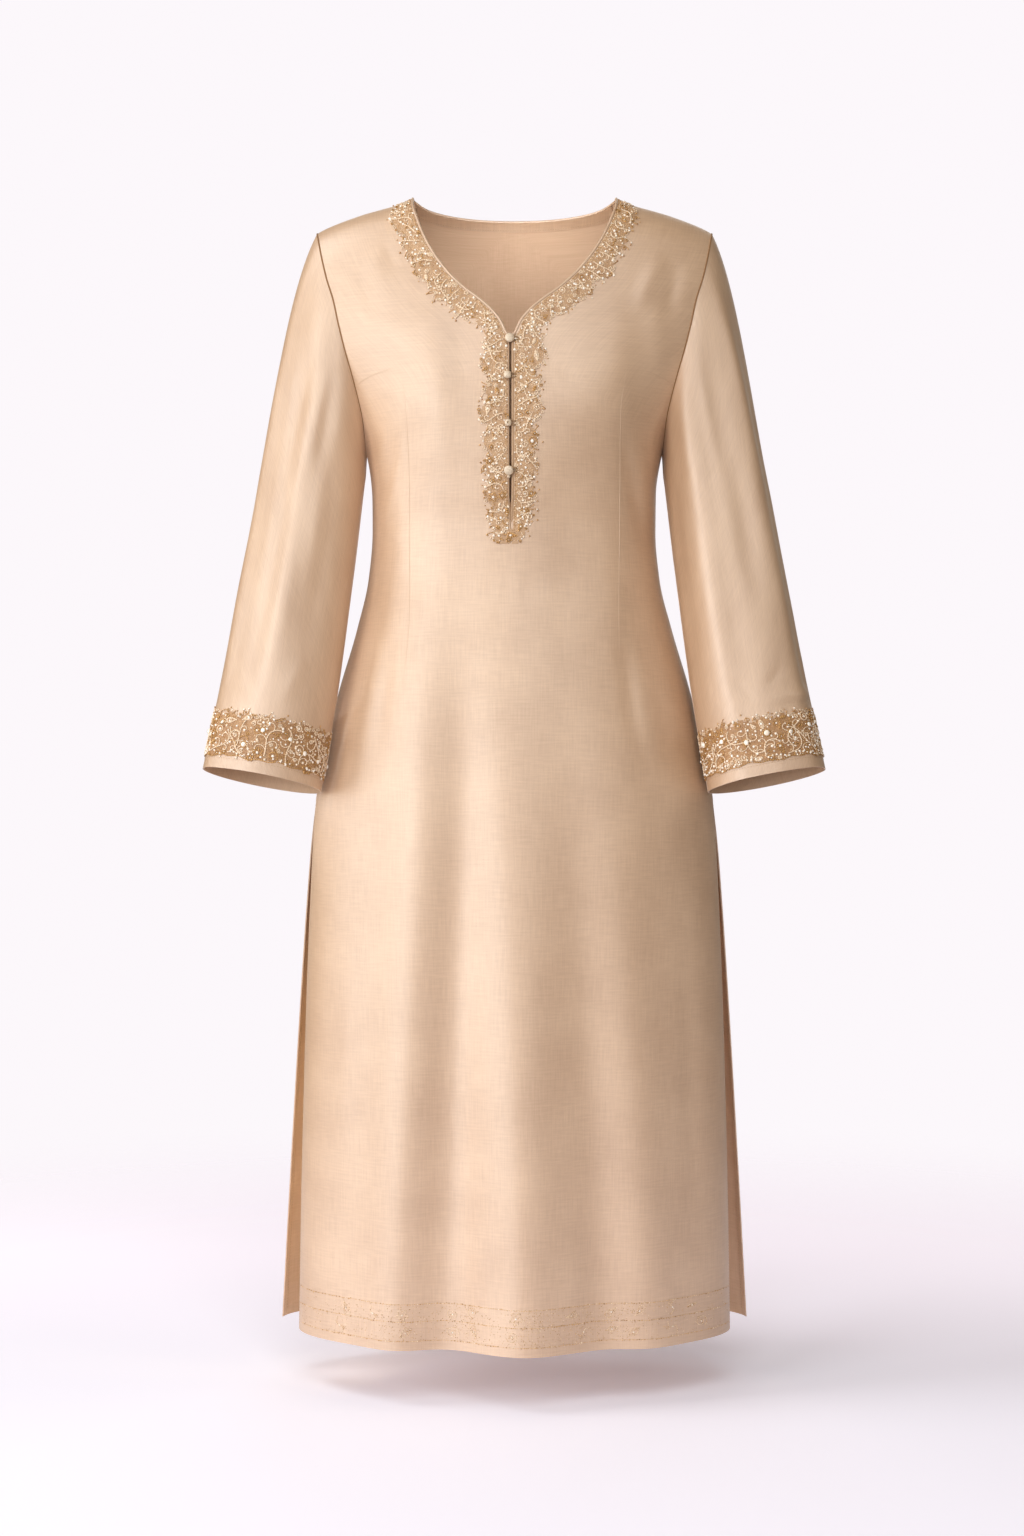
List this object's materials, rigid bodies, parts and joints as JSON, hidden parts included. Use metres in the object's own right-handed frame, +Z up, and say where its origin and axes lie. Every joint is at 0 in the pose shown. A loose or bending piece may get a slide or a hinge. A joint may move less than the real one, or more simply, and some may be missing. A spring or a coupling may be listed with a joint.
{
  "type": "kameez",
  "caption": "Long silk kameez with straight sleeves, side slits, a notched buttoned neck opening and embroidered neck and cuffs, in its worn hollow form.",
  "frame": {"origin": "where the wearer's shoulders hold it: middle of the shoulders, level with the high points of the shoulder seams", "axes": "+Z up, front of the garment faces -Y, wearer's left at +X"},
  "size_m": [0.6074, 0.2836, 1.1238],
  "materials": {
    "silk": "soft satin sheen",
    "gold_thread": "raised metallic thread and beads",
    "button_cloth": "satin"
  },
  "bodies": {
    "root": {"front_panel": "silk", "back_panel": "silk", "sleeve_left": "silk", "sleeve_right": "silk", "neck_piping": "silk", "back_neck_facing": "silk", "neck_embroidery_left": "gold_thread", "neck_embroidery_right": "gold_thread", "cuff_embroidery_left": "gold_thread", "cuff_embroidery_right": "gold_thread", "button_1": "button_cloth", "button_2": "button_cloth", "button_3": "button_cloth", "button_4": "button_cloth", "button_loop_1": "silk", "button_loop_2": "silk", "button_loop_3": "silk", "button_loop_4": "silk"}
  },
  "joints": []
}
